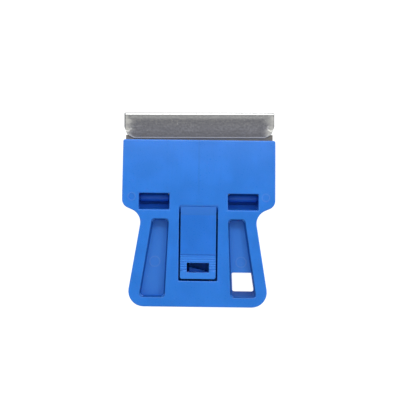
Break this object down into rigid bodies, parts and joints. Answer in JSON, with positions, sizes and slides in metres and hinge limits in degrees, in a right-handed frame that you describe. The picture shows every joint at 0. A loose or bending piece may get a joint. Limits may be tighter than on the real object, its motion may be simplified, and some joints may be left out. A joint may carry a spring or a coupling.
{
  "type": "algae scraper",
  "caption": "Flat pocket scraper for algae: a wedge-headed handle with finger hollows, a flip lever that clamps a backed blade, and a hang hole.",
  "frame": {"origin": "under the middle of the whole scraper, on the plane that its back lies on", "axes": "+X across the blade to the side with the hang hole, +Y from the grip towards the blade, +Z out of the front face with the lever"},
  "size_m": [0.0392, 0.0502, 0.008],
  "materials": {
    "handle_plastic": "satin moulded",
    "lever_plastic": "satin moulded",
    "blade_steel": "blued, ground edge",
    "spine_steel": "rolled, lightly scratched"
  },
  "bodies": {
    "handle": {"handle_body": "handle_plastic"},
    "lever": {"clamp_lever": "lever_plastic"},
    "blade_unit": {"blade": "blade_steel", "blade_spine": "spine_steel"}
  },
  "joints": [
    {"name": "lever_pivot", "type": "hinge", "parent": "handle", "child": "lever", "pos_m": [0, 0.00287, 0.0034], "axis": [-1, 0, 0], "range_deg": [0, 10]},
    {"name": "blade_slide", "type": "slide", "parent": "handle", "child": "blade_unit", "axis": [0, 1, 0], "range_m": [0, 0.011]}
  ]
}
